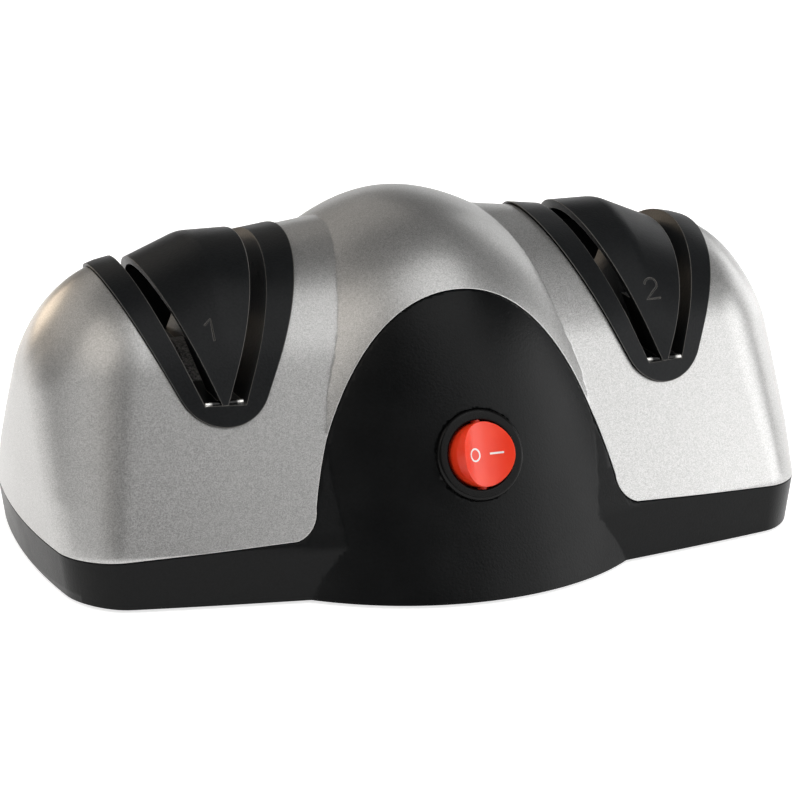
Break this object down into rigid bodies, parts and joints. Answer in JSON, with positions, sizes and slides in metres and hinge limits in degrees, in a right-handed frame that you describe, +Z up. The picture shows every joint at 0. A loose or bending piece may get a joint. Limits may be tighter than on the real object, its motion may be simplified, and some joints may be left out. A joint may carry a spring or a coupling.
{
  "type": "electric knife sharpener",
  "caption": "Two-stage electric knife sharpener: silver winged housing, black arched front panel with a round rocker switch, and two V-shaped blade guides.",
  "frame": {"origin": "on the standing plane of the feet, below the middle of the whole: midway between the two blade guides and half way through the depth", "axes": "+X along the length towards the second stage, -Y out of the front panel, +Z up"},
  "size_m": [0.2078, 0.1266, 0.09],
  "materials": {
    "silver_paint": "satin metallic silver paint with fine flake",
    "black_plastic": "finely textured black moulding",
    "guide_plastic": "satin black moulding",
    "bright_steel": "polished steel",
    "foot_rubber": "matt black rubber",
    "plated_steel": "zinc plated",
    "switch_plastic": "semi gloss black",
    "brass": "bright",
    "red_plastic": "translucent red",
    "zinc_plate": "zinc plated sheet",
    "ferrite": "sintered",
    "bronze": "sintered bronze",
    "carbon": "matt",
    "grey_plastic": "matt",
    "core_steel": "laminated",
    "copper": "enamelled",
    "coarse_grit": "coarse grit",
    "fine_grit": "fine grit",
    "board_green": "matt",
    "capacitor_sleeve": "gloss",
    "brown_sleeve": "satin",
    "red_sleeve": "satin"
  },
  "bodies": {
    "housing": {"upper_housing": "silver_paint", "lower_housing": "black_plastic", "blade_guide_1": "guide_plastic", "blade_guide_2": "guide_plastic", "blade_rods_1": "bright_steel", "blade_rods_2": "bright_steel", "rubber_feet": "foot_rubber", "housing_screws": "plated_steel", "switch_body": "switch_plastic", "switch_terminals": "brass", "motor_can": "zinc_plate", "motor_magnets": "ferrite", "motor_end_caps": "zinc_plate", "motor_bushes": "bronze", "motor_straps": "plated_steel", "strap_screws": "plated_steel", "brushes": "carbon", "outer_bushes": "bronze", "bush_caps": "grey_plastic", "bush_cap_screws": "plated_steel", "rectifier_board": "board_green", "rectifier": "switch_plastic", "capacitor": "capacitor_sleeve", "board_screws": "plated_steel", "cord_gland": "foot_rubber", "cord_clamp": "grey_plastic", "cord_clamp_screws": "plated_steel", "switch_wires": "brown_sleeve", "motor_wires": "red_sleeve"},
    "rotor": {"drive_shaft": "bright_steel", "armature_core": "core_steel", "armature_windings": "copper", "commutator": "copper", "grinding_wheel_coarse": "coarse_grit", "grinding_wheel_fine": "fine_grit", "wheel_collars": "plated_steel", "wheel_nuts": "plated_steel"},
    "rocker": {"rocker": "red_plastic"}
  },
  "joints": [
    {"name": "rotor_spin", "type": "hinge", "parent": "housing", "child": "rotor", "pos_m": [0, 0.00635, 0.036], "axis": [1, 0, 0], "continuous": true},
    {"name": "rocker_tilt", "type": "hinge", "parent": "housing", "child": "rocker", "pos_m": [0, -0.05093, 0.03546], "axis": [0, -0.342, -0.9397], "range_deg": [0, 24]}
  ]
}
